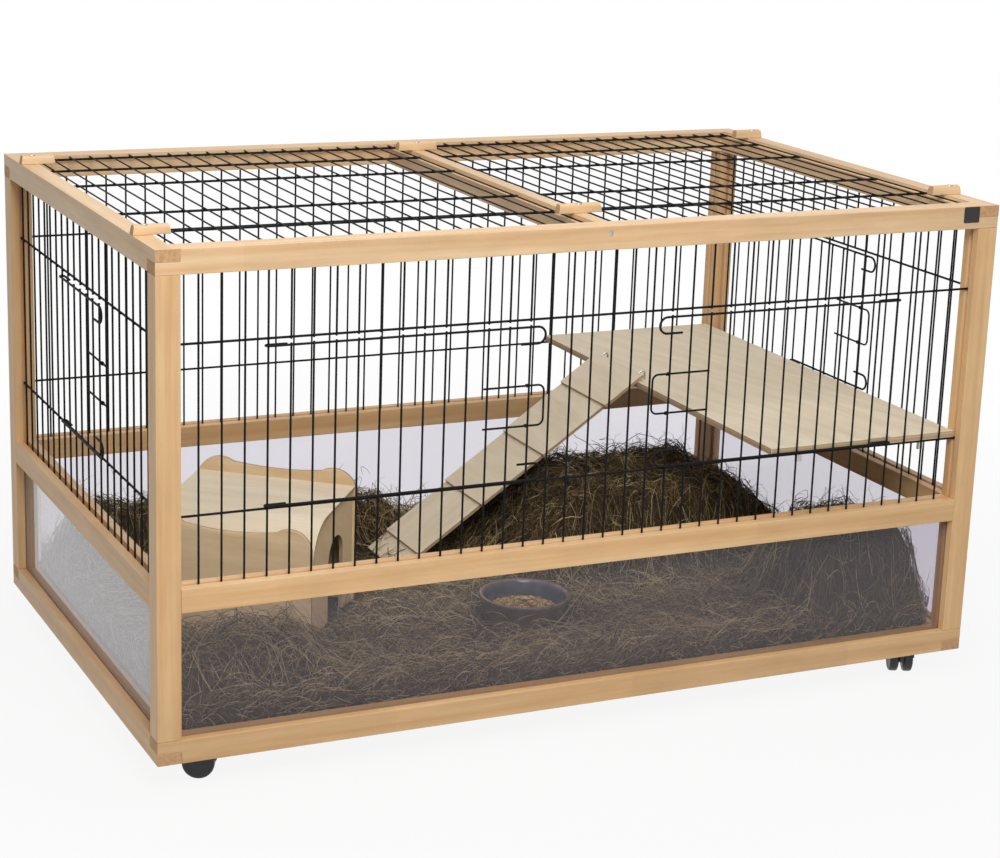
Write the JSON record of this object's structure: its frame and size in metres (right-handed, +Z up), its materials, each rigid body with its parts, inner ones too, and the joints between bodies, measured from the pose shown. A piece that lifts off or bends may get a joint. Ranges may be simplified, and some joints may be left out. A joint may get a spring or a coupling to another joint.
{
  "type": "rodent cage",
  "caption": "Indoor rodent cage: wooden frame on casters, clear lower panes, wire walls and lids, hinged wire doors with latches, raised platform with ramp, shelter, bowl and bedding.",
  "frame": {"origin": "centre of the cage on the ground under its casters", "axes": "+X along the long side to the right seen from the front, +Y to the back, +Z up"},
  "size_m": [1.15, 0.7, 0.674],
  "materials": {
    "pine_wood": "planed and clear oiled",
    "plywood": "bare sanded plywood",
    "black_wire": "black powder coat",
    "clear_acrylic": "clear cast sheet",
    "caster_plastic": "moulded black nylon",
    "zinc_steel": "zinc plated",
    "glazed_stoneware": "opaque glazed stoneware",
    "hay": "dry loose hay"
  },
  "bodies": {
    "frame": {"beam_screws": "zinc_steel", "bottom_rail_back": "pine_wood", "bottom_rail_front": "pine_wood", "bottom_rail_left": "pine_wood", "bottom_rail_right": "pine_wood", "button_pivots": "zinc_steel", "caster_plates": "zinc_steel", "centre_beam": "pine_wood", "floor_panel": "plywood", "grid_back": "black_wire", "grid_front": "black_wire", "grid_left": "black_wire", "grid_right": "black_wire", "hay_bedding": "hay", "lid_left": "black_wire", "lid_right": "black_wire", "mid_rail_back": "pine_wood", "mid_rail_front": "pine_wood", "mid_rail_left": "pine_wood", "mid_rail_right": "pine_wood", "pane_back": "clear_acrylic", "pane_front": "clear_acrylic", "pane_left": "clear_acrylic", "pane_right": "clear_acrylic", "post_back_left": "pine_wood", "post_back_right": "pine_wood", "post_front_left": "pine_wood", "post_front_right": "pine_wood", "top_rail_back": "pine_wood", "top_rail_front": "pine_wood", "top_rail_left": "pine_wood", "top_rail_right": "pine_wood"},
    "caster_front_left": {"caster_hood_front_left": "caster_plastic"},
    "wheels_front_left": {"caster_wheels_front_left": "caster_plastic"},
    "caster_front_right": {"caster_hood_front_right": "caster_plastic"},
    "wheels_front_right": {"caster_wheels_front_right": "caster_plastic"},
    "caster_back_left": {"caster_hood_back_left": "caster_plastic"},
    "wheels_back_left": {"caster_wheels_back_left": "caster_plastic"},
    "caster_back_right": {"caster_hood_back_right": "caster_plastic"},
    "wheels_back_right": {"caster_wheels_back_right": "caster_plastic"},
    "door_front_left": {"door_front_left": "black_wire"},
    "latch_front_left": {"latch_front_left": "black_wire"},
    "door_front_right": {"door_front_right": "black_wire"},
    "latch_front_right": {"latch_front_right": "black_wire"},
    "door_left": {"door_left": "black_wire"},
    "latch_left": {"latch_left": "black_wire"},
    "door_right": {"door_right": "black_wire"},
    "latch_right": {"latch_right": "black_wire"},
    "turn_button_front_left": {"turn_button_front_left": "pine_wood"},
    "turn_button_front_middle": {"turn_button_front_middle": "pine_wood"},
    "turn_button_front_right": {"turn_button_front_right": "pine_wood"},
    "turn_button_back_left": {"turn_button_back_left": "pine_wood"},
    "turn_button_back_middle": {"turn_button_back_middle": "pine_wood"},
    "turn_button_back_right": {"turn_button_back_right": "pine_wood"},
    "platform": {"platform": "plywood", "platform_hooks": "zinc_steel"},
    "ramp": {"ramp": "plywood"},
    "house": {"house_walls": "plywood", "house_roof": "plywood"},
    "food_bowl": {"food_bowl": "glazed_stoneware"}
  },
  "joints": [
    {"name": "door_front_left_swing", "type": "hinge", "parent": "frame", "child": "door_front_left", "pos_m": [-0.43568, -0.3365, 0.445], "axis": [0, 0, -1], "range_deg": [0, 150]},
    {"name": "latch_front_left_slide", "type": "slide", "parent": "door_front_left", "child": "latch_front_left", "axis": [1, 0, 0], "range_m": [0, 0.012]},
    {"name": "door_front_right_swing", "type": "hinge", "parent": "frame", "child": "door_front_right", "pos_m": [0.43568, -0.3365, 0.445], "axis": [0, 0, 1], "range_deg": [0, 150]},
    {"name": "latch_front_right_slide", "type": "slide", "parent": "door_front_right", "child": "latch_front_right", "axis": [-1, 0, 0], "range_m": [0, 0.012]},
    {"name": "door_left_swing", "type": "hinge", "parent": "frame", "child": "door_left", "pos_m": [-0.5615, 0.10167, 0.445], "axis": [0, 0, -1], "range_deg": [0, 150]},
    {"name": "latch_left_slide", "type": "slide", "parent": "door_left", "child": "latch_left", "axis": [0, -1, 0], "range_m": [0, 0.012]},
    {"name": "door_right_swing", "type": "hinge", "parent": "frame", "child": "door_right", "pos_m": [0.5615, 0.10167, 0.445], "axis": [0, 0, 1], "range_deg": [0, 150]},
    {"name": "latch_right_slide", "type": "slide", "parent": "door_right", "child": "latch_right", "axis": [0, -1, 0], "range_m": [0, 0.012]},
    {"name": "turn_button_front_left_turn", "type": "hinge", "parent": "frame", "child": "turn_button_front_left", "pos_m": [-0.56, -0.258, 0.668], "axis": [0, 0, 1], "continuous": true},
    {"name": "turn_button_front_middle_turn", "type": "hinge", "parent": "frame", "child": "turn_button_front_middle", "pos_m": [0, -0.258, 0.668], "axis": [0, 0, 1], "continuous": true},
    {"name": "turn_button_front_right_turn", "type": "hinge", "parent": "frame", "child": "turn_button_front_right", "pos_m": [0.56, -0.258, 0.668], "axis": [0, 0, 1], "continuous": true},
    {"name": "turn_button_back_left_turn", "type": "hinge", "parent": "frame", "child": "turn_button_back_left", "pos_m": [-0.56, 0.258, 0.668], "axis": [0, 0, 1], "continuous": true},
    {"name": "turn_button_back_middle_turn", "type": "hinge", "parent": "frame", "child": "turn_button_back_middle", "pos_m": [0, 0.258, 0.668], "axis": [0, 0, 1], "continuous": true},
    {"name": "turn_button_back_right_turn", "type": "hinge", "parent": "frame", "child": "turn_button_back_right", "pos_m": [0.56, 0.258, 0.668], "axis": [0, 0, 1], "continuous": true},
    {"name": "caster_front_left_swivel", "type": "hinge", "parent": "frame", "child": "caster_front_left", "pos_m": [-0.514, -0.2955, 0.055], "axis": [0, 0, 1], "continuous": true},
    {"name": "wheels_front_left_roll", "type": "hinge", "parent": "caster_front_left", "child": "wheels_front_left", "pos_m": [-0.50675, -0.29888, 0.02], "axis": [-0.4226, -0.9063, 0], "continuous": true},
    {"name": "caster_front_right_swivel", "type": "hinge", "parent": "frame", "child": "caster_front_right", "pos_m": [0.514, -0.2955, 0.055], "axis": [0, 0, 1], "continuous": true},
    {"name": "wheels_front_right_roll", "type": "hinge", "parent": "caster_front_right", "child": "wheels_front_right", "pos_m": [0.51062, -0.30275, 0.02], "axis": [-0.9063, 0.4226, 0], "continuous": true},
    {"name": "caster_back_left_swivel", "type": "hinge", "parent": "frame", "child": "caster_back_left", "pos_m": [-0.514, 0.2955, 0.055], "axis": [0, 0, 1], "continuous": true},
    {"name": "wheels_back_left_roll", "type": "hinge", "parent": "caster_back_left", "child": "wheels_back_left", "pos_m": [-0.51126, 0.28798, 0.02], "axis": [-0.9397, -0.342, 0], "continuous": true},
    {"name": "caster_back_right_swivel", "type": "hinge", "parent": "frame", "child": "caster_back_right", "pos_m": [0.514, 0.2955, 0.055], "axis": [0, 0, 1], "continuous": true},
    {"name": "wheels_back_right_roll", "type": "hinge", "parent": "caster_back_right", "child": "wheels_back_right", "pos_m": [0.50648, 0.29276, 0.02], "axis": [-0.342, 0.9397, 0], "continuous": true},
    {"name": "platform_lift", "type": "slide", "parent": "frame", "child": "platform", "axis": [0, 0, 1], "range_m": [0, 0.12]},
    {"name": "ramp_lift", "type": "slide", "parent": "platform", "child": "ramp", "axis": [0, 0, 1], "range_m": [0, 0.05]},
    {"name": "house_lift", "type": "slide", "parent": "frame", "child": "house", "axis": [0, 0, 1], "range_m": [0, 0.15]},
    {"name": "food_bowl_lift", "type": "slide", "parent": "frame", "child": "food_bowl", "axis": [0, 0, 1], "range_m": [0, 0.15]}
  ]
}
